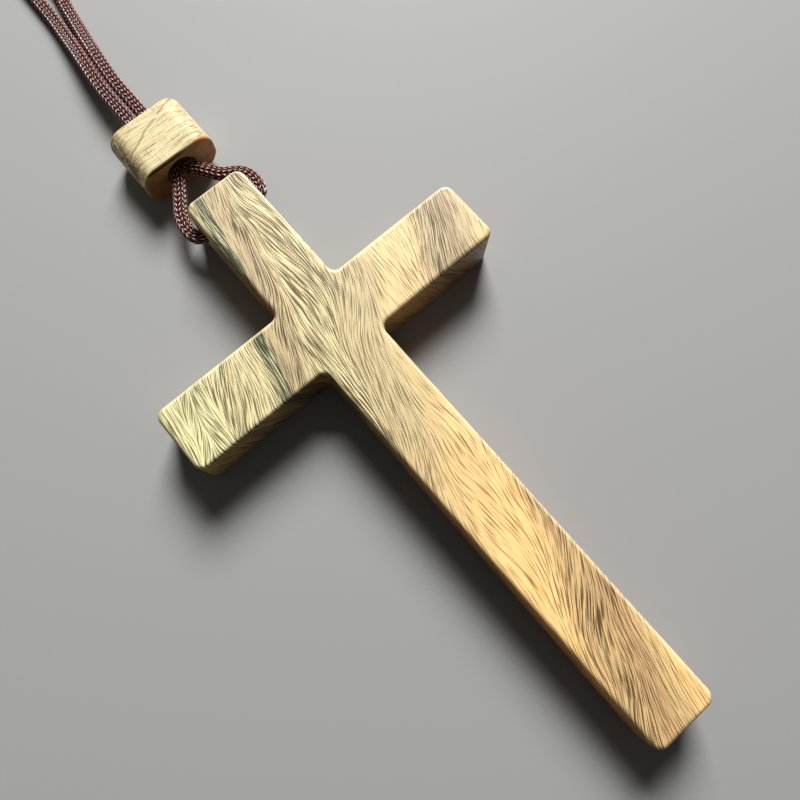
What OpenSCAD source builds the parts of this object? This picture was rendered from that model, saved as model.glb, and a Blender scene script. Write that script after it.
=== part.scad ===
// Cross pendant on a doubled cord.
// A plain cross cut from one piece of wood lies face up. Its cord goes across through a hole in
// the head, and both strands go on together through a wooden bead, lie side by side on the
// surface and end in a neat coil and a knot.
// X runs across the cross, Y from its foot to its head, and Z out of its face. The origin is on
// the back face, behind the middle of the crossing.

/* [Cross] */
// Length from the foot to the top of the head
cross_l = 120; // [100:1:150]
// Width across the bar, from end to end
cross_span = 66; // [50:1:90]
// Thickness from the back to the face
cross_t = 10.5; // [8:0.5:14]
// Width of the upright
post_w = 12.5; // [10:0.5:12.5]
// Width of the bar, measured up the cross
bar_w = 13; // [10:0.5:18]
// From the middle of the crossing to the top of the head
head_l = 33.5; // [24:0.5:34]
// Radius of the arms' corners, seen from the face
arm_corner_r = 2; // [1.3:0.1:4]
// Radius of the four inner corners of the crossing
crook_r = 1.5; // [0.5:0.1:4]
// Radius that the edges of the face and the back are rubbed down to
arm_edge_r = 0.8; // [0.4:0.1:1.2]

/* [Bead] */
// Width of the bead
bead_w = 15.7; // [13:0.1:22]
// Length of the bead along the cord
bead_l = 11.5; // [8:0.1:16]
// Height of the bead
bead_h = 9.1; // [8.8:0.1:14]
// Radius of the four long corners of the bead
bead_corner_r = 3.5; // [1.5:0.1:3.6]
// Radius of the edges at the bead's two ends
bead_edge_r = 0.5; // [0.3:0.1:1]

/* [Cord] */
// Diameter of the cord
cord_d = 2.5; // [1.6:0.1:2.5]
// Gap between the cord and the wall of the hole across the head
hole_gap = 0.35; // [0.3:0.05:0.5]
// Gap between the two strands and the wall of the bead's hole
bead_gap = 0.2; // [0.2:0.05:0.4]
// Width of the bevel at the mouths of the holes
mouth_bevel = 0.4; // [0.2:0.1:0.6]

/* [Coil] */
// Turns of the coil that the spare cord is wound into
coil_turns = 2.25; // [1.25:1:4.25]
// Radius of the outer turn, midway between the two strands
coil_r = 17; // [15:0.5:24]
// Height that the second layer of turns lies above the first
layer_h = 2.95; // [2.95:0.05:4]

/* [Knot] */
// Length of the knot that joins the two ends
knot_l = 9.5; // [6:0.5:12]
// Diameter of the knot
knot_d = 8.4; // [6.4:0.1:9]
// Length of the two cut ends that stick out of the knot
tail_l = 5; // [3:0.5:10]

/* [Hidden] */

// Sides of a round hole, steps of a rounded corner and steps of a rounded edge
round_sides = 64;
corner_steps = 6;
edge_steps = 5;
// A cut runs this far past the surface that it opens
overrun = 1;
// Sides of the tube along a free stretch and of the tube of a coil, and rings in each turn
stretch_sides = 8;
coil_sides = 6;
rings_per_turn = 24;
// A faceted tube has its corners this far out, so that its section is as large as the cord's
function facet_r(sides) = cord_d / 2 * sqrt(2 * PI / (sides * sin(360 / sides)));

cord_r = cord_d / 2;
foot_l = cross_l - head_l;
wood = [0.72, 0.60, 0.38];
pale_wood = [0.80, 0.71, 0.50];
cord_dark = [0.32, 0.16, 0.15];
cord_light = [0.42, 0.24, 0.22];

// Hole across the head: its distance below the top of the head, and its height above the back
hole_drop = 4.1;
hole_y = head_l - hole_drop;
hole_z = 5.25;
hole_d = cord_d + 2 * hole_gap;

// Both strands run straight through the bead at this height and this far apart. The bead's near
// end lies where they become straight, and its place is counted from the hole across the head, as
// the routes are.
strand_z = 4.5;
strand_pitch = 2.8;
bead_near_end = [-1, 14.1];
bead_from_hole = bead_near_end + [0, bead_l / 2];
bead_hole_d = strand_pitch + cord_d + 2 * bead_gap;

// Route of the left strand, with Y counted from the hole across the head: the middle of the
// hole, out of it, round to the bead, through it, down to the surface and up to the coil
left_route = [
    [0, 0, 5.25], [-3, 0, 5.25], [-5.8, 0, 5.25], [-6.7, 0.25, 5.25],
    [-7.4, 0.9, 5.2], [-7.7, 1.9, 5.1], [-7.7, 3.6, 5], [-7.5, 5.4, 4.9],
    [-6.7, 7.2, 4.8], [-5.4, 8.7, 4.7], [-4.3, 10.3, 4.6], [-3.2, 12, 4.5],
    [-2.4, 13.8, 4.5], [-2.4, 16, 4.5], [-2.4, 21, 4.5], [-2.4, 26, 4.5],
    [-2.4, 31, 4.5], [-2.4, 37, 4.5], [-2.1, 41, 4.4], [-1.5, 46, 4],
    [-0.9, 51, 3.1], [-0.4, 56, 2.1], [0, 61, 1.45], [0.2, 66, 1.25],
    [0.4, 71, 1.25], [0.7, 76, 1.25], [1.1, 80, 1.25], [1.2, 82, 1.25], [1.2, 84, 1.25]];
// Route of the right strand, from the same place
right_route = [
    [0, 0, 5.25], [3, 0, 5.25], [5.8, 0, 5.25], [6.7, 0.25, 5.25],
    [7.4, 0.9, 5.25], [7.7, 1.9, 5.2], [7.8, 3.6, 5.1], [7.5, 5.4, 5],
    [6.6, 7.2, 4.8], [5.3, 8.1, 4.7], [4, 9.1, 4.6], [2.9, 10.3, 4.6],
    [1.7, 12, 4.5], [0.4, 13.8, 4.5], [0.4, 16, 4.5], [0.4, 21, 4.5],
    [0.4, 26, 4.5], [0.4, 31, 4.5], [0.4, 37, 4.5], [0.7, 41, 4.4],
    [1.3, 46, 4], [2, 51, 3.1], [2.8, 56, 2.1], [3.6, 61, 1.45],
    [4.6, 66, 1.25], [5.1, 71, 1.25], [4.7, 76, 1.25], [4.2, 80, 1.25],
    [4.1, 82, 1.25], [4.1, 84, 1.25]];

// The spare cord: both strands wound together, inwards on the surface and outwards again on a
// second layer, from where the routes end. The coil's middle lies to the right of them.
coil_pitch = 2.9;
coil_from = (left_route[len(left_route) - 1] + right_route[len(right_route) - 1]) / 2;
coil_at = [coil_from.x + coil_r, hole_y + coil_from.y + cord_d];
// Turns over which the coil climbs, and the run from its last turn to the knot
climb_turns = 0.5;
lead_out = 6 * cord_d;

// The knot: its two ends are flat and as wide as the two strands beside each other
knot_end_r = coil_pitch / 2 + facet_r(coil_sides);
knot_bulge = knot_d / 2 - knot_end_r;
knot_arc_r = (knot_bulge ^ 2 + (knot_l / 2) ^ 2) / (2 * knot_bulge);
knot_at = [coil_at.x + lead_out, coil_at.y + coil_r, knot_d / 2];
// Slope at which the two cut ends leave the knot
tail_slope = 16;

function unit(v) = v / norm(v);
function ease(t) = let (u = min(max(t, 0), 1)) u * u * (3 - 2 * u);

// One corner of an outline, as an arc. side points from the corner to the arc's middle, and a
// turn to the right is an inner corner, which grows where the outline is drawn in.
function corner_arc(at, side, from, turn, radius, inset) =
    let (r = turn > 0 ? radius - inset : radius + inset)
    [for (k = [0 : corner_steps]) let (a = from + turn * k / corner_steps)
        at + radius * side + r * [cos(a), sin(a)]];

// The cross seen from its face, drawn in by inset, anticlockwise from the right end of the bar
function cross_outline(inset) =
    let (x = cross_span / 2, p = post_w / 2, b = bar_w / 2, c = arm_corner_r, k = crook_r)
    concat(
        corner_arc([x, -b], [-1, 1], -90, 90, c, inset),
        corner_arc([x, b], [-1, -1], 0, 90, c, inset),
        corner_arc([p, b], [1, 1], -90, -90, k, inset),
        corner_arc([p, head_l], [-1, -1], 0, 90, c, inset),
        corner_arc([-p, head_l], [1, -1], 90, 90, c, inset),
        corner_arc([-p, b], [-1, 1], 0, -90, k, inset),
        corner_arc([-x, b], [1, -1], 90, 90, c, inset),
        corner_arc([-x, -b], [1, 1], 180, 90, c, inset),
        corner_arc([-p, -b], [-1, -1], 90, -90, k, inset),
        corner_arc([-p, -foot_l], [1, 1], 180, 90, c, inset),
        corner_arc([p, -foot_l], [-1, 1], 270, 90, c, inset),
        corner_arc([p, -b], [1, -1], 180, -90, k, inset));

// The bead seen along its hole, drawn in by inset
function bead_outline(inset) =
    let (x = bead_w / 2, y = bead_h / 2, c = bead_corner_r)
    concat(
        corner_arc([x, -y], [-1, 1], -90, 90, c, inset),
        corner_arc([x, y], [-1, -1], 0, 90, c, inset),
        corner_arc([-x, y], [1, -1], 90, 90, c, inset),
        corner_arc([-x, -y], [1, 1], 180, 90, c, inset));

// Inset and height of each ring of a slab whose two rims are rounded
function rim_steps(height, radius) = concat(
    [for (k = [0 : edge_steps]) let (a = 90 * k / edge_steps)
        [radius * (1 - sin(a)), radius * (1 - cos(a))]],
    [for (k = [edge_steps : -1 : 0]) let (a = 90 * k / edge_steps)
        [radius * (1 - sin(a)), height - radius * (1 - cos(a))]]);

// Closed skin over rings that have the same number of points. Each end is a fan of triangles
// round its middle, a point that sees the whole of its ring.
module skin(rings, first_middle, last_middle) {
    n = len(rings[0]);
    last = (len(rings) - 1) * n;
    middles = last + n;
    polyhedron(
        points = concat([for (ring = rings) each ring], [first_middle, last_middle]),
        faces = concat(
            [for (i = [0 : n - 1]) [middles, i, (i + 1) % n]],
            [for (j = [0 : n : last - n], i = [0 : n - 1]) let (a = j + i, b = j + (i + 1) % n)
                each [[a, a + n, b + n], [a, b + n, b]]],
            [for (i = [0 : n - 1]) [middles + 1, last + (i + 1) % n, last + i]]),
        convexity = 6);
}

// Slab of an outline round the origin, with rounded rims
module slab(height, rim_r, outline) {
    skin([for (step = rim_steps(height, rim_r)) [for (p = outline(step[0])) [p.x, p.y, step[1]]]],
        [0, 0, 0], [0, 0, height]);
}

// Direction of a route at one of its points
function heading(route, i) = unit(
    (i < len(route) - 1 ? unit(route[i + 1] - route[i]) : [0, 0, 0])
    + (i > 0 ? unit(route[i] - route[i - 1]) : [0, 0, 0]));

// One ring of a tube, square to its route, with a flat side below
function tube_ring(route, i, sides) =
    let (
        t = heading(route, i),
        side = unit(cross([0, 0, 1], t)),
        up = cross(t, side),
        first = 90 + 180 / sides)
    [for (k = [0 : sides - 1]) let (a = first + 360 * k / sides)
        route[i] + facet_r(sides) * (cos(a) * side + sin(a) * up)];

function tube_rings(route, sides) = [for (i = [0 : len(route) - 1]) tube_ring(route, i, sides)];

module tube(route, sides) {
    skin(tube_rings(route, sides), route[0], route[len(route) - 1]);
}

// A point of the coil after so many turns: strand is 1 on the outer strand and -1 on the inner
function coil_point(turn, strand) =
    let (
        r = coil_r - 2 * coil_pitch * min(turn, coil_turns - turn) + strand * coil_pitch / 2,
        a = 180 - 360 * turn,
        climb = ease((turn - coil_turns / 2) / climb_turns + 1 / 2))
    [coil_at.x + r * cos(a), coil_at.y + r * sin(a), cord_r + layer_h * climb];

// A strand's way from its last turn to the knot: level until it is clear of the turn below, down
// to the knot's height, and level again for the last cord diameter
function lead_out_route(strand) =
    let (
        from = coil_point(coil_turns, strand),
        down_from = (lead_out - cord_d) / 2,
        down_over = lead_out - cord_d - down_from)
    [for (run = [cord_d : cord_d : lead_out])
        [from.x + run, from.y, from.z + (knot_at.z - from.z) * ease((run - down_from) / down_over)]];

// A strand's route through the coil, from the end of its free stretch to the knot
function coil_route(start, strand) = concat(
    [start],
    [for (k = [0 : coil_turns * rings_per_turn]) coil_point(k / rings_per_turn, strand)],
    lead_out_route(strand));

// A route whose Y is counted from the hole across the head
function from_hole(route) = [for (p = route) p + [0, hole_y, 0]];

left_path = from_hole(left_route);
right_path = from_hole(right_route);
left_coil = coil_route(left_path[len(left_path) - 1], 1);
right_coil = coil_route(right_path[len(right_path) - 1], -1);

// Least gap between points of a wound tube that are more than half a turn apart
function own_gap(rings) = min([
    for (i = [0 : len(rings) - 1], j = [i + rings_per_turn / 2 : len(rings) - 1])
        for (p = rings[i], q = rings[j]) norm(p - q)]);
echo(own_gap_left = own_gap(tube_rings(left_coil, coil_sides)));
echo(own_gap_right = own_gap(tube_rings(right_coil, coil_sides)));

// Cut for a round hole along Z, right through a piece of this length, with a bevel at both of its
// mouths. Each bevel is a cone at 45 degrees that goes on as far outside as inside.
module bored(d, length) {
    cylinder(h = length + 2 * overrun, d = d, center = true, $fn = round_sides);
    for (end = [0, 1]) mirror([0, 0, end])
        translate([0, 0, length / 2 - mouth_bevel])
            cylinder(h = 2 * mouth_bevel, d1 = d, d2 = d + 4 * mouth_bevel, $fn = round_sides);
}

// The cross: one piece of wood, with the hole for the cord from side to side in its head
module cross_body() {
    color(wood) difference() {
        slab(cross_t, arm_edge_r, function(inset) cross_outline(inset));
        translate([0, hole_y, hole_z]) rotate([0, 90, 0]) bored(hole_d, post_w);
    }
}

// The bead: a rounded block of the same wood, bored along the cord for both strands
module bead() {
    color(pale_wood) translate([bead_from_hole.x, hole_y + bead_from_hole.y, 0])
        rotate([90, 0, 0]) difference() {
            translate([0, bead_h / 2, -bead_l / 2])
                slab(bead_l, bead_edge_r, function(inset) bead_outline(inset));
            translate([0, strand_z, 0]) bored(bead_hole_d, bead_l);
        }
}

// The left half of the loop and the strand that goes on from it to the coil
module cord_left() {
    color(cord_dark) tube(left_path, stretch_sides);
}

// The right half of the loop and the strand that goes on from it to the coil
module cord_right() {
    color(cord_light) tube(right_path, stretch_sides);
}

// The left strand's turns, which are the outer ones of each pair
module coil_left() {
    color(cord_dark) tube(left_coil, coil_sides);
}

// The right strand's turns
module coil_right() {
    color(cord_light) tube(right_coil, coil_sides);
}

// The overhand knot in both strands, with their two cut ends
module end_knot() {
    color(cord_dark) translate(knot_at) {
        rotate([0, 90, 0]) rotate_extrude($fn = round_sides) intersection() {
            square([knot_d / 2, knot_l]);
            translate([knot_d / 2 - knot_arc_r, knot_l / 2]) circle(r = knot_arc_r, $fn = round_sides);
        }
        for (strand = [-1, 1])
            translate([knot_l / 2, strand * coil_pitch / 2, 0]) rotate([0, 90 + tail_slope, 0])
                cylinder(h = knot_l / 2 + tail_l, d = cord_d, $fn = round_sides);
    }
}

cross_body();
bead();
cord_left();
cord_right();
coil_left();
coil_right();
end_knot();
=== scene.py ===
import math
import bpy
import numpy as np
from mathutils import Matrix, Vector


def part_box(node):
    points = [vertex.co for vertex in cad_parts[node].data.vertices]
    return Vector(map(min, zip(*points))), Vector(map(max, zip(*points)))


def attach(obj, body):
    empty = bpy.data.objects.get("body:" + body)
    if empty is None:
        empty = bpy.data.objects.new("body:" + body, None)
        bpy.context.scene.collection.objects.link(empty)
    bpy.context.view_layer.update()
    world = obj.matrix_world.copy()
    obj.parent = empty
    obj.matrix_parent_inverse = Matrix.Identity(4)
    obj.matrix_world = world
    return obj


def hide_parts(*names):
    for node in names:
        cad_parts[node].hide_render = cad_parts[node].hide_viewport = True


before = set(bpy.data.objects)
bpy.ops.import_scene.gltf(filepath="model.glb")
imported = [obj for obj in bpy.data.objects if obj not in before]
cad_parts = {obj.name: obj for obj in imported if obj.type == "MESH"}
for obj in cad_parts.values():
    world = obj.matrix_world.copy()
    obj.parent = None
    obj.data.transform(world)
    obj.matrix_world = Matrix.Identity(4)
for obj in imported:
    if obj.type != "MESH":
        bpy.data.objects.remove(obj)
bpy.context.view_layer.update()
mm = 0.001

# The view. The camera hangs close over the cross, a little towards the foot and the left arm,
# and is turned so that the head points to the upper left of the picture.
lens_data = bpy.data.cameras.new("camera")
lens_data.lens = 31.5
lens_data.sensor_width = 36
lens_data.clip_start = 1 * mm
camera = bpy.data.objects.new("camera", lens_data)
camera.location = (-17.5 * mm, -37.7 * mm, 125.6 * mm)
camera.rotation_euler = [math.radians(angle) for angle in (12.66, -0.4, -40.91)]
bpy.context.collection.objects.link(camera)
bpy.context.scene.camera = camera


# The cord: one length of satin knotting cord, braided from fine dark maroon yarns. Its middle lies
# in the hole across the head. Both strands run up through the bead and, past the edge of the
# picture, wind together into a small flat coil.
cord_d = 2.5 * mm
hole_y, hole_z = 29.4 * mm, 5.25 * mm
# The routes, in millimetres, with Y counted from the hole across the head
left_route = [
    (0, 0, 5.25), (-3, 0, 5.25), (-5.8, 0, 5.25), (-6.7, 0.25, 5.25),
    (-7.4, 0.9, 5.2), (-7.75, 1.9, 5.1), (-7.8, 3.4, 5), (-7.5, 5.1, 4.9),
    (-6.75, 6.8, 4.8), (-5.7, 8.4, 4.7), (-4.5, 10.2, 4.6), (-3.3, 12.1, 4.5),
    (-2.4, 13.8, 4.5), (-2.4, 16, 4.5), (-2.4, 21, 4.5), (-2.4, 26, 4.5),
    (-2.4, 31, 4.5), (-2.4, 37, 4.5), (-2.1, 41, 4.4), (-1.5, 46, 4),
    (-0.9, 51, 3.1), (-0.4, 56, 2.1), (0, 61, 1.45), (0.2, 66, 1.25),
    (0.4, 71, 1.25), (0.7, 76, 1.25), (1.1, 80, 1.25), (1.2, 82, 1.25), (1.2, 84, 1.25)]
right_route = [
    (0, 0, 5.25), (3, 0, 5.25), (5.8, 0, 5.25), (6.75, 0.25, 5.25),
    (7.5, 0.9, 5.25), (7.9, 1.9, 5.2), (8, 3.4, 5.1), (7.65, 5.1, 5),
    (6.7, 6.5, 4.8), (5.3, 7.5, 4.7), (3.9, 8.7, 4.6), (2.8, 10.4, 4.6),
    (1.6, 12.3, 4.5), (0.4, 13.8, 4.5), (0.4, 16, 4.5), (0.4, 21, 4.5),
    (0.4, 26, 4.5), (0.4, 31, 4.5), (0.4, 37, 4.5), (0.7, 41, 4.4),
    (1.3, 46, 4), (2, 51, 3.1), (2.8, 56, 2.1), (3.6, 61, 1.45),
    (4.6, 66, 1.25), (5.1, 71, 1.25), (4.7, 76, 1.25), (4.2, 80, 1.25),
    (4.1, 82, 1.25), (4.1, 84, 1.25)]
# The coil: its turns, the radius of the outer one, their spacing, and the height of its second
# layer with the turns that the cord takes to climb onto it. From its last turn the strands run
# straight to the knot, in steps as long as the cord is thick
coil_turns = 2.25
coil_r = 17 * mm
coil_pitch = 2.9 * mm
layer_h = 2.95 * mm
climb_turns = 0.5
points_per_turn = 24
lead_steps = 6
knot_d = 8.4 * mm


def on_the_cross(route):
    """A route's points in metres, with Y counted from the middle of the crossing."""
    return np.array(route) * mm + (0, hole_y, 0)


def ease(share):
    """A smooth step from 0 to 1 while the share goes from 0 to 1."""
    share = min(max(share, 0), 1)
    return share * share * (3 - 2 * share)


coil_from = (on_the_cross(left_route)[-1] + on_the_cross(right_route)[-1]) / 2
coil_at = coil_from + (coil_r, cord_d, 0)


def coil_point(turn, strand):
    """A point of the coil, which winds inwards on the ground and back outwards on a second layer.
    strand is 1 on the outer strand and -1 on the inner."""
    r = coil_r - 2 * coil_pitch * min(turn, coil_turns - turn) + strand * coil_pitch / 2
    angle = math.pi - 2 * math.pi * turn
    climb = ease((turn - coil_turns / 2) / climb_turns + 0.5)
    return coil_at + (r * math.cos(angle), r * math.sin(angle), layer_h * climb)


def strand_points(route, strand):
    """The points of one strand, from the middle of the hole to the knot."""
    wound = [coil_point(k / points_per_turn, strand)
             for k in range(1, int(coil_turns * points_per_turn) + 1)]
    last = wound[-1]
    level = (lead_steps - 1) * cord_d / 2
    out = [last + (run, 0, (knot_d / 2 - last[2]) * ease((run - level) / level))
           for run in cord_d * np.arange(1, lead_steps + 1)]
    return np.array([*on_the_cross(route), *wound, *out])


def smooth_line(points, gaps):
    """A smooth line through the points, cut into even steps. gaps gives the step's length as a
    function of the distance run."""
    before, after = 2 * points[0] - points[1], 2 * points[-1] - points[-2]
    p = np.array([before, *points, after])
    fine, cuts = [], 12
    for a, b, c, d in zip(p, p[1:], p[2:], p[3:]):
        for t in np.arange(cuts) / cuts:
            fine.append((2 * b + (c - a) * t + (2 * a - 5 * b + 4 * c - d) * t ** 2
                         + (3 * b - a - 3 * c + d) * t ** 3) / 2)
    fine = np.array([*fine, points[-1]])
    far = np.concatenate([[0], np.cumsum(np.linalg.norm(np.diff(fine, axis=0), axis=1))])
    stops = [0.0]
    while stops[-1] < far[-1]:
        stops.append(stops[-1] + gaps(stops[-1]))
    stops = np.array(stops) * far[-1] / stops[-1]
    return np.column_stack([np.interp(stops, far, fine[:, k]) for k in range(3)]), stops


def unit(vectors):
    """The same directions with a length of 1."""
    return vectors / np.linalg.norm(vectors, axis=-1, keepdims=True)


def beside_and_above(line):
    """Two unit vectors square to a line at each of its points, carried along without a twist."""
    ahead = unit(np.gradient(line, axis=0))
    beside = np.empty_like(line)
    beside[0] = unit(np.cross(ahead[0], (0, 0, 1)))
    for i in range(1, len(line)):
        beside[i] = unit(beside[i - 1] - ahead[i] * (beside[i - 1] @ ahead[i]))
    return beside, np.cross(beside, ahead)


def solid_piece(name, verts, faces, uv=None):
    """A new piece with smooth shading, and a map of its faces where one is given."""
    mesh = bpy.data.meshes.new(name)
    mesh.from_pydata([tuple(v) for v in verts], [], faces)
    mesh.polygons.foreach_set("use_smooth", [True] * len(mesh.polygons))
    if uv is not None:
        mesh.uv_layers.new(name="run").data.foreach_set("uv", np.array(uv, "f").ravel())
    mesh.validate()
    piece = bpy.data.objects.new(name, mesh)
    bpy.context.collection.objects.link(piece)
    return piece


# The braid: so many yarns each way round, each going once round in this length, the height of a
# yarn's crown over the dip beside it, and the share of that height that lies at the cord's radius
yarns = 12
yarn_lead = 13 * mm
yarn_relief = 0.26 * mm
yarn_level = 0.6
round_points = 72
# The relief is cut into the mesh up to where the coil begins, on rings closer than beyond it
free_run = 96 * mm
braid_gap, coil_gap, knot_gap = 0.14 * mm, 0.6 * mm, 0.3 * mm


def crown(share):
    """Height of a yarn across its width, from 0 at its edges to 1 in the middle."""
    return 1 - np.abs(2 * (share % 1) - 1) ** 2.5


def braided_skin(name, lines, carved):
    """A mesh of closed tubes as thick as the cord, one along each line, shaped by yarns that go
    over and under each other for so far along it. Each line comes with the distance run at its
    points."""
    verts, faces, uv = [], [], []
    n = round_points
    turn = np.arange(n) / n
    angle = 2 * np.pi * turn
    over = np.sin(np.pi * yarns * turn)
    for line, run in lines:
        beside, above = beside_and_above(line)
        way = run[:, None] / yarn_lead
        one, other = crown(yarns * (way + turn)), crown(yarns * (way - turn))
        height = np.maximum(one * (0.5 + 0.5 * over), other * (0.5 - 0.5 * over))
        r = cord_d / 2 + yarn_relief * (height - yarn_level) * (run < carved)[:, None]
        ring = line[:, None] + r[..., None] * (
            np.cos(angle)[:, None] * beside[:, None] + np.sin(angle)[:, None] * above[:, None])
        start, rings = len(verts), len(line)
        verts += [*ring.reshape(-1, 3), line[0], line[-1]]
        for j in range(rings - 1):
            a, b = start + j * n, start + (j + 1) * n
            low, high = run[j] / yarn_lead, run[j + 1] / yarn_lead
            for i in range(n):
                k = (i + 1) % n
                faces.append((a + i, b + i, b + k, a + k))
                uv += [(i / n, low), (i / n, high), ((i + 1) / n, high), ((i + 1) / n, low)]
        middle, last = start + rings * n, start + (rings - 1) * n
        for i in range(n):
            k = (i + 1) % n
            faces += [(start + i, start + k, middle), (last + k, last + i, middle + 1)]
            uv += [(i / n, run[0] / yarn_lead)] * 3 + [(i / n, run[-1] / yarn_lead)] * 3
    return solid_piece(name, verts, faces, uv)


class Wire:
    """A socket of a material, with the arithmetic and the nodes that its patterns use."""

    def __init__(self, socket):
        self.socket = socket

    def node(self, kind, settings, values, output=0):
        """A new node in the same material. Its settings come first, and a ramp's stops are one."""
        tree = self.socket.id_data
        node = tree.nodes.new(kind)
        for key, value in settings.items():
            if key == "stops":
                ramp = node.color_ramp.elements
                while len(ramp) < len(value):
                    ramp.new(1)
                for element, (place, colour) in zip(ramp, value):
                    element.position, element.color = place, colour
            elif key == "interpolation":
                node.color_ramp.interpolation = value
            else:
                setattr(node, key, value)
        for key, value in values.items():
            if isinstance(value, Wire):
                tree.links.new(value.socket, node.inputs[key])
            else:
                node.inputs[key].default_value = value
        return Wire(node.outputs[output])

    def maths(self, operation, *others):
        """One step of arithmetic with this value first."""
        values = dict(enumerate((self, *others)))
        return self.node("ShaderNodeMath", {"operation": operation}, values)

    def __add__(self, other):
        return self.maths("ADD", other)

    __radd__ = __add__

    def __sub__(self, other):
        return self.maths("SUBTRACT", other)

    def __rsub__(self, other):
        return self * -1 + other

    def __mul__(self, other):
        return self.maths("MULTIPLY", other)

    __rmul__ = __mul__

    def __truediv__(self, other):
        return self.maths("DIVIDE", other)

    def __pow__(self, other):
        return self.maths("POWER", other)

    def between(self, low, high, new_low=0.0, new_high=1.0):
        """A smooth step from new_low to new_high while this value goes from low to high."""
        return self.node("ShaderNodeMapRange", {"interpolation_type": "SMOOTHSTEP"},
                         {0: self, 1: low, 2: high, 3: new_low, 4: new_high})

    def blend(self, first, second):
        """A colour that goes from the first to the second as this value goes from 0 to 1."""
        return self.node("ShaderNodeMix", {"data_type": "RGBA"}, {0: self, 6: first, 7: second}, 2)

    def output(self, number):
        """Another output of the node that this value comes from."""
        return Wire(self.socket.node.outputs[number])

    def dimmed(self, share):
        """This colour times a number."""
        return self.node("ShaderNodeVectorMath", {"operation": "SCALE"}, {0: self, 3: share})

    def tinted(self, colour):
        """This colour times another."""
        return self.node("ShaderNodeVectorMath", {"operation": "MULTIPLY"}, {0: self, 1: colour})

    def noise(self, scale, detail=2.0, roughness=0.5, output=0):
        """Noise at the place that this vector gives."""
        return self.node("ShaderNodeTexNoise", {},
                         {"Vector": self, "Scale": scale, "Detail": detail, "Roughness": roughness},
                         output)

    def parts(self):
        """The three numbers of a vector."""
        x = self.node("ShaderNodeSeparateXYZ", {}, {0: self})
        return x, x.output(1), x.output(2)

    def vector(self, *numbers):
        """A vector of three numbers, patterns among them."""
        return self.node("ShaderNodeCombineXYZ", {}, dict(enumerate(numbers)))


def shade(red, green, blue):
    """A colour as it shows on a screen, from 0 to 255 each, as the shaders need it."""
    return (*(((c / 255 + 0.055) / 1.055) ** 2.4 for c in (red, green, blue)), 1)


def new_material(name, **sockets):
    """A material, the settings of its shader, and the places on the piece to start patterns from."""
    material = bpy.data.materials.new(name)
    material.use_nodes = True
    shader = material.node_tree.nodes["Principled BSDF"]
    for key, value in sockets.items():
        shader.inputs[key.replace("_", " ")].default_value = value
    places = material.node_tree.nodes.new("ShaderNodeTexCoord")
    return material, shader, places


def finish_with(shader, bump_distance, **wires):
    """Links patterns to a shader. Height goes through a bump of that distance in metres."""
    for key, wire in wires.items():
        if key == "Height":
            wire = wire.node("ShaderNodeBump", {}, {"Height": wire, "Distance": bump_distance})
            key = "Normal"
        shader.id_data.links.new(wire.socket, shader.inputs[key.replace("_", " ")])


cord_look, cord_shader, cord_places = new_material(
    "braided_satin", Roughness=0.3, Specular_IOR_Level=0.9)
# Where a point is: round the cord, along it, and across the yarn that is on top there. Fine
# filaments run along each yarn. A painted highlight makes its crown pale where it comes up over the
# next, and the dips between the yarns are painted near black as painted shade
filaments_per_yarn = 5
around, along, _ = Wire(cord_places.outputs["UV"]).parts()
one, other = (along + around) * yarns, (along - around) * yarns
over = (around * (yarns * math.pi)).maths("SINE")
on_top = over.maths("GREATER_THAN", 0)
across = (one * on_top + other * (1 - on_top)).maths("FRACT")
filaments = (across * (2 * math.pi * filaments_per_yarn)).maths("SINE") * 0.5 + 0.5
yarn_height = 1 - ((across * 2 - 1).maths("ABSOLUTE") ** 2.0)
on_crown = yarn_height * (over.maths("ABSOLUTE") ** 0.7)
# The ramp gives the yarn's colour with a painted highlight on the crowns and painted shade in the
# dips
painted_yarn_sheen_and_shade = on_crown.node(
    "ShaderNodeValToRGB", {"stops": [(0.0, shade(6, 3, 3)), (0.5, shade(34, 15, 14)),
                                     (0.75, shade(124, 62, 54)), (1.0, shade(255, 176, 156))]},
    {0: on_crown})
finish_with(cord_shader, 0.2 * mm, Base_Color=painted_yarn_sheen_and_shade, Height=filaments * 0.06 + on_crown,
            Roughness=filaments.between(0, 1, 0.24, 0.32))

strands = []
for side, route, strand in (("left", left_route, 1), ("right", right_route, -1)):
    line, run = smooth_line(strand_points(route, strand),
                            lambda far: braid_gap if far < free_run else coil_gap)
    piece = braided_skin(f"cord_{side}_strand", [(line, run)], free_run)
    piece.data.materials.append(cord_look)
    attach(piece, "cord")
    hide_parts(f"cord_{side}", f"coil_{side}")
    strands.append((piece, line, run[-1], side))

# The knot: both strands wind round each other between their way in and their two cut ends, closer
# at both ends of the knot than in its middle, and the ends droop by this much of their length
knot_low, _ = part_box("end_knot")
knot_l = 9.5 * mm
knot_turns = 1.25
knot_tilt = math.pi / 4
knot_end_r = 0.75
tail_l = 5 * mm
tail_droop = 0.25
knot_points = 16
knot_at = np.array([knot_low[0] + knot_l / 2, coil_at[1] + coil_r, knot_d / 2])
knot_r = (knot_d - cord_d) / 2
knot_lines = []
for strand in (1, -1):
    at_end = np.array([knot_l / 2, strand * coil_pitch / 2, 0])
    points = [at_end * (-1, 1, 1)]
    for share in np.arange(knot_points + 1) / knot_points:
        angle = strand * math.pi / 2 + 2 * math.pi * knot_turns * (share - 0.5) - knot_tilt
        r = knot_r * (knot_end_r + (1 - knot_end_r) * math.sin(math.pi * share))
        points.append(np.array([(share - 0.5) * (knot_l - cord_d), -r * math.sin(angle),
                                r * math.cos(angle)]))
    for run in (0, tail_l / 2, tail_l):
        points.append(np.array([knot_l / 2 + run, strand * coil_pitch / 2, -tail_droop * run]))
    knot_lines.append(smooth_line(np.array(points) + knot_at, lambda far: knot_gap))
knot = braided_skin("overhand_knot", knot_lines, math.inf)
knot.data.materials.append(cord_look)
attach(knot, "cord")
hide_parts("end_knot")


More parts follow.
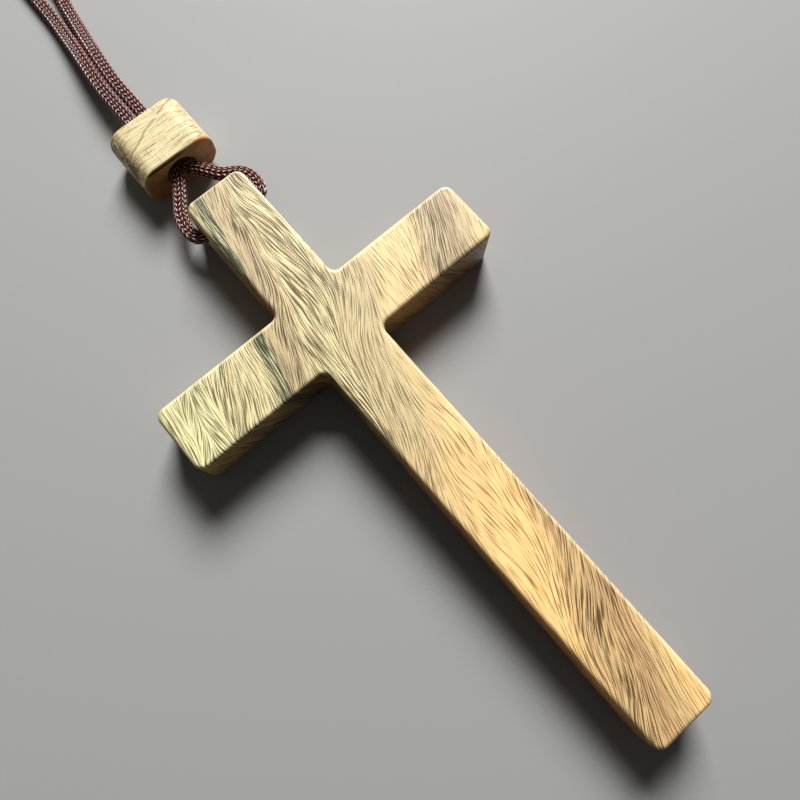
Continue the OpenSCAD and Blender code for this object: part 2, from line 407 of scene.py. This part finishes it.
# The cross: cut from one board, drilled from side to side near the top of the head, its corners
# rounded and its edges rubbed down by hand, then polished. The grain is interlocked: it leans to
# and fro in slanting bands, like the barbs of a feather.
cross_low, cross_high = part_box("cross_body")
arm_end, head_top, thick = cross_high
foot = cross_low[1]
post_w = 12.5 * mm
bar_w = 13 * mm
corner_r = 1.8 * mm
crook_r = 1.5 * mm
rub_r = 0.8 * mm
rub_unevenness = 0.1
sharpest = math.radians(32)
hole_d = 3.2 * mm
hole_bevel = 0.4 * mm


def corner_arc(at, side, start, turn, radius, steps=8):
    """An arc round a corner: places on it and, for each, the way that leads inwards."""
    places = []
    for k in range(steps + 1):
        angle = math.radians(start + turn * k / steps)
        way = np.array([math.cos(angle), math.sin(angle)])
        inwards = -way if turn > 0 else way
        places.append((np.array(at) + radius * np.array(side) + radius * way, inwards))
    return places


def with_stops(outline, gap):
    """The outline with more places on its straight stretches, no further apart than the gap."""
    full = []
    for (a, way), (b, _) in zip(outline, outline[1:] + outline[:1]):
        count = max(1, math.ceil(np.linalg.norm(b - a) / gap))
        full += [(a + (b - a) * k / count, way) for k in range(count)]
    return full


def rubbed_slab(name, outline, low, high, rub, unevenness):
    """A board with this outline, whose edges are rubbed round, a little more here than there. Its
    faces begin a little further in than the rounding ends."""
    steps, margin = 8, 0.15 * rub
    at = np.array([place for place, _ in outline])
    inwards = np.array([way for _, way in outline])
    n = len(outline)
    far = np.arange(n) / n * 2 * np.pi
    wander = np.sin(3 * far + 0.6) + 0.7 * np.sin(7 * far + 2.1) + 0.5 * np.sin(13 * far + 4.0)
    r = rub * (1 + unevenness * wander)[:, None]
    rings = []
    for end, up in ((low, 1), (high, -1)):
        flat = at + inwards * (r + margin)
        stack = [np.column_stack([flat, np.full(n, end)])]
        for k in range(steps + 1):
            angle = math.pi / 2 * k / steps
            edge = at + inwards * r * (1 - math.sin(angle))
            stack.append(np.column_stack([edge, end + up * r[:, 0] * (1 - math.cos(angle))]))
        rings += stack if up == 1 else stack[::-1]
    verts = np.concatenate(rings)
    faces = [(j * n + i, j * n + (i + 1) % n, (j + 1) * n + (i + 1) % n, (j + 1) * n + i)
             for j in range(len(rings) - 1) for i in range(n)]
    last = (len(rings) - 1) * n
    faces += [tuple(range(n))[::-1], tuple(range(last, last + n))]
    return solid_piece(name, verts, faces)


def bored(piece, start, end, diameter, bevel):
    """Drills a straight hole through a piece, with a small bevel at both of its mouths."""
    sides = 64
    start, end = np.array(start), np.array(end)
    ahead = unit(end - start)
    beside = unit(np.cross(ahead, (0, 1, 0)))
    above = np.cross(beside, ahead)
    far = np.linalg.norm(end - start)
    steps = ((-bevel, 2 * bevel), (bevel, 0), (far - bevel, 0), (far + bevel, 2 * bevel))
    verts, faces = [], []
    for run, wider in steps:
        for k in range(sides):
            angle = 2 * math.pi * k / sides
            verts.append(start + ahead * run + (diameter / 2 + wider) * (
                math.cos(angle) * beside + math.sin(angle) * above))
    for j in range(len(steps) - 1):
        faces += [(j * sides + i, (j + 1) * sides + i, (j + 1) * sides + (i + 1) % sides,
                   j * sides + (i + 1) % sides) for i in range(sides)]
    last = (len(steps) - 1) * sides
    faces += [tuple(range(sides)), tuple(range(last, last + sides))[::-1]]
    drill = solid_piece("drill", verts, faces)
    cut = piece.modifiers.new("hole", "BOOLEAN")
    cut.operation, cut.solver, cut.object = "DIFFERENCE", "EXACT", drill
    bpy.context.view_layer.update()
    cut_mesh = bpy.data.meshes.new_from_object(
        piece.evaluated_get(bpy.context.evaluated_depsgraph_get()))
    piece.modifiers.clear()
    piece.data = cut_mesh
    bpy.data.objects.remove(drill)
    cut_mesh.set_sharp_from_angle(angle=sharpest)


# The outline goes once round from the end of the right arm, p from the middle of the upright and b
# from the middle of the bar
p, b = post_w / 2, bar_w / 2
cross_outline = [
    *corner_arc((arm_end, -b), (-1, 1), -90, 90, corner_r),
    *corner_arc((arm_end, b), (-1, -1), 0, 90, corner_r),
    *corner_arc((p, b), (1, 1), -90, -90, crook_r),
    *corner_arc((p, head_top), (-1, -1), 0, 90, corner_r),
    *corner_arc((-p, head_top), (1, -1), 90, 90, corner_r),
    *corner_arc((-p, b), (-1, 1), 0, -90, crook_r),
    *corner_arc((-arm_end, b), (1, -1), 90, 90, corner_r),
    *corner_arc((-arm_end, -b), (1, 1), 180, 90, corner_r),
    *corner_arc((-p, -b), (-1, -1), 90, -90, crook_r),
    *corner_arc((-p, foot), (1, 1), 180, 90, corner_r),
    *corner_arc((p, foot), (-1, 1), 270, 90, corner_r),
    *corner_arc((p, -b), (1, -1), 180, -90, crook_r)]
cross = rubbed_slab(
    "wooden_cross", with_stops(cross_outline, 2 * mm), 0, thick, rub_r, rub_unevenness)
bored(cross, (-p, hole_y, hole_z), (p, hole_y, hole_z), hole_d, hole_bevel)

wood_look, wood_shader, wood_places = new_material(
    "feathered_wood", Roughness=0.5, Specular_IOR_Level=0.5, Coat_Weight=0.1, Coat_Roughness=0.35)
spot = Wire(wood_places.outputs["Object"])

# The bands of the grain lie across the board, 70 degrees from its arms. These are the grain's leans
# against them, in degrees, at these places across them, in millimetres from the crossing
band_lean = math.radians(70)
lean_places = (-34, -29.3, -27.4, -24.6, -20.4, -12.4, -8.5, -3.4, 5, 13, 22.5, 29, 36)
leans = (3, 11, -22, 19, -15, 8, -10, 24, -9, 24, -14, 5, 0)
steepest = math.sin(math.radians(30))
# The bands sway by so much either way, and towards the top of the head they bend over to one side.
# Inside the board they lie further over with each millimetre of depth
band_sway = 2.5
head_bend = (8, 36, 0, 2.4)
dip_x, dip_y = 0.35, -0.55
# A stroke of the grain is so wide and so long, and follows the lean for so many steps to both
# sides, fading by this much towards its ends. A fibre is half as wide
stroke_w, stroke_l = 0.2, 0.8
stroke_steps, stroke_step = 9, 0.32
stroke_fade = 0.2


def in_the_bands(spot):
    """Where a place, in metres, is across and along the bands, in millimetres."""
    x, y, z = (part * 1000 for part in spot.parts())
    depth = z - thick * 1000
    x, y = x + depth * dip_x, y + depth * dip_y
    sway, waves, _ = spot.vector(x, y, 0).noise(0.05, 1.0, 0.5, 1).parts()
    sin_b, cos_b = math.sin(band_lean), math.cos(band_lean)
    across = x * sin_b - y * cos_b + (sway - 0.5) * (2 * band_sway) + y.between(*head_bend)
    return across, x * cos_b + y * sin_b + (waves - 0.5) * (2 * band_sway)


def feathered_grain(across, along):
    """How strongly a stroke and a fibre of the grain show, at this place in the bands. Noise is
    read at steps along the line of the grain: its highest value makes a stroke and its mean a
    fibre. The lean comes from a ramp, as a grey from 0 to 1."""
    low, high = lean_places[0], lean_places[-1]
    stops = [((place - low) / (high - low),
              (0.5 + 0.5 * math.sin(math.radians(lean)) / steepest,) * 3 + (1,))
             for place, lean in zip(lean_places, leans)]

    def noise_at(c, s, wide):
        flat = c.vector(c / wide, s / stroke_l, 0)
        return flat.node("ShaderNodeTexNoise", {"noise_dimensions": "2D"},
                         {"Vector": flat, "Scale": 1, "Detail": 0})

    strongest = noise_at(across, along, stroke_w)
    mean = noise_at(across, along, stroke_w / 2)
    for way in (1, -1):
        c = across
        for k in range(1, stroke_steps + 1):
            share = c.node("ShaderNodeMapRange", {"clamp": True}, {0: c, 1: low, 2: high})
            slope = share.node("ShaderNodeValToRGB", {"interpolation": "EASE", "stops": stops},
                               {0: share})
            c = c.node("ShaderNodeMath", {"operation": "MULTIPLY_ADD"},
                       {0: slope - 0.5, 1: -2 * way * stroke_step * steepest, 2: c})
            s = along + way * stroke_step * k
            mean = mean + noise_at(c, s, stroke_w / 2)
            here = noise_at(c, s, stroke_w) - stroke_fade * (k / stroke_steps) ** 2
            strongest = strongest.maths("MAXIMUM", here)
    return strongest, mean / (2 * stroke_steps + 1)


across, along = in_the_bands(spot)
stroke, fibre = feathered_grain(across, along)
# The colours that the wood takes in its bands, from its pale sapwood to a vein of olive
pale, cream, honey, amber = (246, 234, 175), (236, 219, 164), (217, 195, 144), (242, 210, 149)
ashen, rosy, olive = (203, 180, 134), (196, 168, 126), (196, 189, 140)
# Where each colour is across the bands, and how strongly the strokes of the grain show there
band_tones = [
    (-33, pale, 0.5), (-28, pale, 0.7), (-24, pale, 0.75), (-20, cream, 0.7), (-16, cream, 0.6),
    (-13.2, cream, 0.65), (-12.5, olive, 1.0), (-11.2, olive, 1.0), (-10.3, ashen, 0.5),
    (-9, ashen, 0.6), (-7.8, ashen, 0.9), (-6.6, honey, 0.7), (-4.5, cream, 0.9), (0, cream, 0.85),
    (3.5, honey, 0.6), (7, honey, 0.4), (13, amber, 0.25), (17, amber, 0.35), (23, ashen, 0.8),
    (27, rosy, 0.6), (30, honey, 0.4), (33, amber, 0.2)]
first, last = band_tones[0][0], band_tones[-1][0]
tone_stops = [((place - first) / (last - first), (*shade(*colour)[:3], strength))
              for place, colour, strength in band_tones]
tone_share = across.node("ShaderNodeMapRange", {}, {0: across, 1: first, 2: last})
tone = tone_share.node("ShaderNodeValToRGB", {"interpolation": "EASE", "stops": tone_stops},
                       {0: tone_share})
strength = tone.output(1)
# A stroke is drawn where its noise is high: more of them in strong bands, in clumps and in the
# vein. They are brown, and greenish in the vein and beyond it
vein_at = -12.1
clumps = spot.vector(across * 0.45, along * 0.16, 3.0).noise(1.0, 1.0)
vein = (across - vein_at).maths("ABSOLUTE").between(0.8, 1.8, 1, 0)
drawn = (stroke - 0.815 + strength * 0.1 + vein * 0.035 + (clumps - 0.5) * 0.13).between(0, 0.03)
ink = across.between(-10.8, -9.6).blend((0.055, 0.06, 0.016, 1), (0.11, 0.075, 0.03, 1))
inked = (drawn * (strength * 0.25 + 0.75)).blend((1, 1, 1, 1), ink)
# The fibres and broad patches make the wood lighter or darker, and it is redder towards the foot
patches = spot.vector(across * 0.3, along * 0.07, 0).noise(1.0, 2.0)
light = (fibre - 0.5) * (strength * 2.4 + 1.5) + (patches - 0.5) * 0.4 + 1.04
up_the_post = spot.parts()[1] * 1000
redder = up_the_post.between(-45, -15, 1, 0).blend((1, 1, 1, 1), (1.24, 1.08, 0.94, 1))
# All walls, and the rims to the foot and the left, are painted a deeper brown as painted shade. The
# rims to the head and the right, which face the lamp, get a painted pale highlight, and the grain
# shows less there
faces_x, faces_y, faces_z = spot.node("ShaderNodeNewGeometry", {}, {}, 1).parts()
painted_rim_highlight = (faces_x + faces_y).between(0.05, 0.45) * faces_z.between(0.15, 0.45)
flat_on = faces_z.maths("ABSOLUTE").between(0.3, 0.97).maths("MAXIMUM", painted_rim_highlight)
# Painted shade: the walls and the rims away from the lamp are darker and browner
painted_wall_shade = flat_on.blend((0.55, 0.4, 0.27, 1), (1, 1, 1, 1))
wood_colour = tone.tinted(redder).tinted(inked).tinted(painted_wall_shade).dimmed(light)
# Painted highlight: the rims towards the lamp are paler
wood_colour = (painted_rim_highlight * 0.5).blend(wood_colour, shade(244, 230, 184))
finish_with(wood_shader, 0.02 * mm, Base_Color=wood_colour, Height=fibre * 2 - drawn * 0.5,
            Roughness=drawn.between(0, 1, 0.45, 0.6))
cross.data.materials.clear()
cross.data.materials.append(wood_look)
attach(cross, "cross")
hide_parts("cross_body")


# The bead: a block of the same wood with its long corners well rounded, bored along the cord and
# rubbed down at both ends. Its grain is fine and straight, and runs across the cord.
bead_low, bead_high = (np.array(corner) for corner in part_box("bead"))
bead_at = (bead_low + bead_high) / 2
bead_w, bead_l, bead_h = (bead_high - bead_low) / 2
bead_corner_r = 3.5 * mm
bead_corner_steps = 14
bead_rub_r = 0.5 * mm
bead_unevenness = 0.12
bead_hole_d = 5.7 * mm
bead_hole_z = 4.5 * mm
# It is made standing on its end, with its height along Y, and then laid down
bead_outline = []
for start, side_x, side_y in ((-90, 1, -1), (0, 1, 1), (90, -1, 1), (180, -1, -1)):
    bead_outline += corner_arc((side_x * bead_w, side_y * bead_h), (-side_x, -side_y), start, 90,
                               bead_corner_r, bead_corner_steps)
bead = rubbed_slab("wooden_bead", with_stops(bead_outline, 1.5 * mm), -bead_l, bead_l, bead_rub_r,
                   bead_unevenness)
up = bead_hole_z - bead_h
bored(bead, (0, up, -bead_l), (0, up, bead_l), bead_hole_d, hole_bevel)
for vertex in bead.data.vertices:
    x, z, y = vertex.co
    vertex.co = (x + bead_at[0], y + bead_at[1], z + bead_at[2])
# Two axes have changed places, which turned the faces inside out
bead.data.flip_normals()

bead_look, bead_shader, bead_places = new_material(
    "bead_wood", Roughness=0.55, Specular_IOR_Level=0.3)
bead_spot = Wire(bead_places.outputs["Object"])
# Places on the bead, in millimetres from its middle, with the height counted from its top
bx, by, bz = ((part - float(middle)) * 1000
              for part, middle in zip(bead_spot.parts(), (bead_at[0], bead_at[1], bead_high[2])))
wave = bead_spot.vector(bx * 0.12, by * 0.2, bz * 0.2).noise(1.0, 1.0) - 0.5
row = by + wave * 0.7 + bx * 0.02
grain = bead_spot.vector(bx * 0.1, row * 2.4, bz * 0.8).noise(1.0, 3.0, 0.6)
mottle_noise = bead_spot.vector(bx * 0.5, by * 0.5, bz * 0.5).noise(1.0, 3.0, 0.7)
# Painted shade: the left rounding is darkened, mottled olive, and the end face towards the cross is
# darker, most of all low down and round the hole. Its rim is amber on the right
left_rounding_shade = (bx + mottle_noise * 3).between(-5.6, -3.2, 1, 0) * bz.between(-7, -3)
near_face = by.between(-5.6, -5.25, 1, 0)
low_face = near_face * (bz + bx * 0.35).between(-6.5, -1.0, 1, 0)
rim = (by + 5.4).maths("ABSOLUTE").between(0.1, 0.5, 1, 0) * bx.between(3.5, 5.5)
from_hole = ((bx * bx + (bz + 4.6) ** 2) ** 0.5).between(2.8, 3.3, 1, 0) * near_face
bead_colour = grain.between(0.3, 0.7).blend(shade(214, 192, 142), shade(243, 227, 178))
# All of these but the amber rim are painted shade: the left rounding, the end face towards the
# cross, its low part and the ring round the hole
for mask, colour in (
        (left_rounding_shade * mottle_noise.between(0.38, 0.56), (138, 118, 72)), (near_face, (180, 144, 92)),
        (low_face * 0.7, (122, 78, 38)), (rim * 0.8, (214, 134, 52)),
        (from_hole * 0.85, (46, 28, 16))):
    bead_colour = mask.blend(bead_colour, shade(*colour))
# Marks over that: fine hairs and a few flecks along the grain, one darker streak slantwise over the
# top, and faint rays that cross the grain, along the cord
hair = bead_spot.vector(bx * 0.16, row * 5.5, bz * 0.8).noise(1.0, 1.0)
hairs = hair.between(0.59, 0.65) * (1 - near_face * 0.6)
fleck = bead_spot.vector(bx * 2.4, by * 6.0, bz * 2.4).noise(1.0, 0.0)
slant = by - 1.1 - (bx + 3.0) * 0.42 + wave * 2
streak = slant.maths("ABSOLUTE").between(0.05, 0.4, 1, 0) * mottle_noise.between(0.36, 0.5)
ray = bead_spot.vector(bx * 3.4 + wave * 2, by * 0.3, bz * 2.0).noise(1.0, 1.0).between(0.58, 0.66)
marks = hairs * 0.85
for mark in (fleck.between(0.72, 0.76) * 0.6, streak * 0.6, ray * (1 - near_face) * 0.3):
    marks = marks.maths("MAXIMUM", mark)
bead_colour = marks.blend(bead_colour, shade(96, 78, 48))
# A dark line lies along the edge over the hole
edge_line = by.between(-5.35, -5.2, 1, 0) * bz.between(-0.75, -0.5) * bx.between(0, 4, 1, 0)
bead_colour = (edge_line * 0.9).blend(bead_colour, shade(62, 46, 16))
finish_with(bead_shader, 0.02 * mm, Base_Color=bead_colour, Height=1 - hairs * 0.5,
            Roughness=hairs.between(0, 1, 0.5, 0.65))
bead.data.materials.clear()
bead.data.materials.append(bead_look)
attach(bead, "bead")
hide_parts("bead")

# The two strands: each leaves the head at its side, and carries the bead and the knot. Only the
# side at which each leaves the head is worked out here
for piece, line, length, side in strands:
    way_out = post_w / 2 if side == "right" else -post_w / 2


# The studio: a plain pale floor that fades into an even backdrop, and one wide soft lamp beyond
# the head.
floor_w = 3.0
fades_from, fades_to = 0.5, 0.95
s = floor_w / 2
floor = solid_piece("floor", [(-s, -s, 0), (s, -s, 0), (s, s, 0), (-s, s, 0)], [(0, 1, 2, 3)])
floor_look, floor_shader, floor_places = new_material(
    "floor", Base_Color=shade(160, 160, 158), Roughness=0.65, Specular_IOR_Level=0.3)
floor_x, floor_y, _ = Wire(floor_places.outputs["Object"]).parts()
from_middle = (floor_x * floor_x + floor_y * floor_y) ** 0.5
finish_with(floor_shader, 0, Alpha=from_middle.between(fades_from, fades_to, 1, 0))
floor.data.materials.append(floor_look)

sky = bpy.data.worlds.new("sky")
sky.use_nodes = True
even_light = sky.node_tree.nodes["Background"]
even_light.inputs["Color"].default_value = (1, 1, 1, 1)
even_light.inputs["Strength"].default_value = 0.06
# The backdrop beyond the floor looks as pale as the floor, and gives no more light for that
straight_on = Wire(even_light.outputs[0]).node("ShaderNodeLightPath", {}, {})
backdrop = straight_on.node("ShaderNodeBackground", {}, {0: shade(150, 150, 148), 1: 1})
seen = straight_on.node("ShaderNodeMixShader", {},
                        {0: straight_on, 1: Wire(even_light.outputs[0]), 2: backdrop})
sky.node_tree.links.new(seen.socket, sky.node_tree.nodes["World Output"].inputs[0])
bpy.context.scene.world = sky

lamp_data = bpy.data.lights.new("window", "AREA")
lamp_data.energy = 10.1
lamp_data.size = 0.55
lamp_data.spread = math.radians(110)
lamp = bpy.data.objects.new("window", lamp_data)
lamp_at = np.array([0.62, 0.7, 0.8])
lamp.location = lamp_at
bpy.context.collection.objects.link(lamp)
lamp.rotation_euler = (
    math.atan2(math.hypot(lamp_at[0], lamp_at[1]), lamp_at[2]), 0,
    math.atan2(lamp_at[1], lamp_at[0]) + math.pi / 2)
bpy.context.scene.view_settings.view_transform = "Standard"
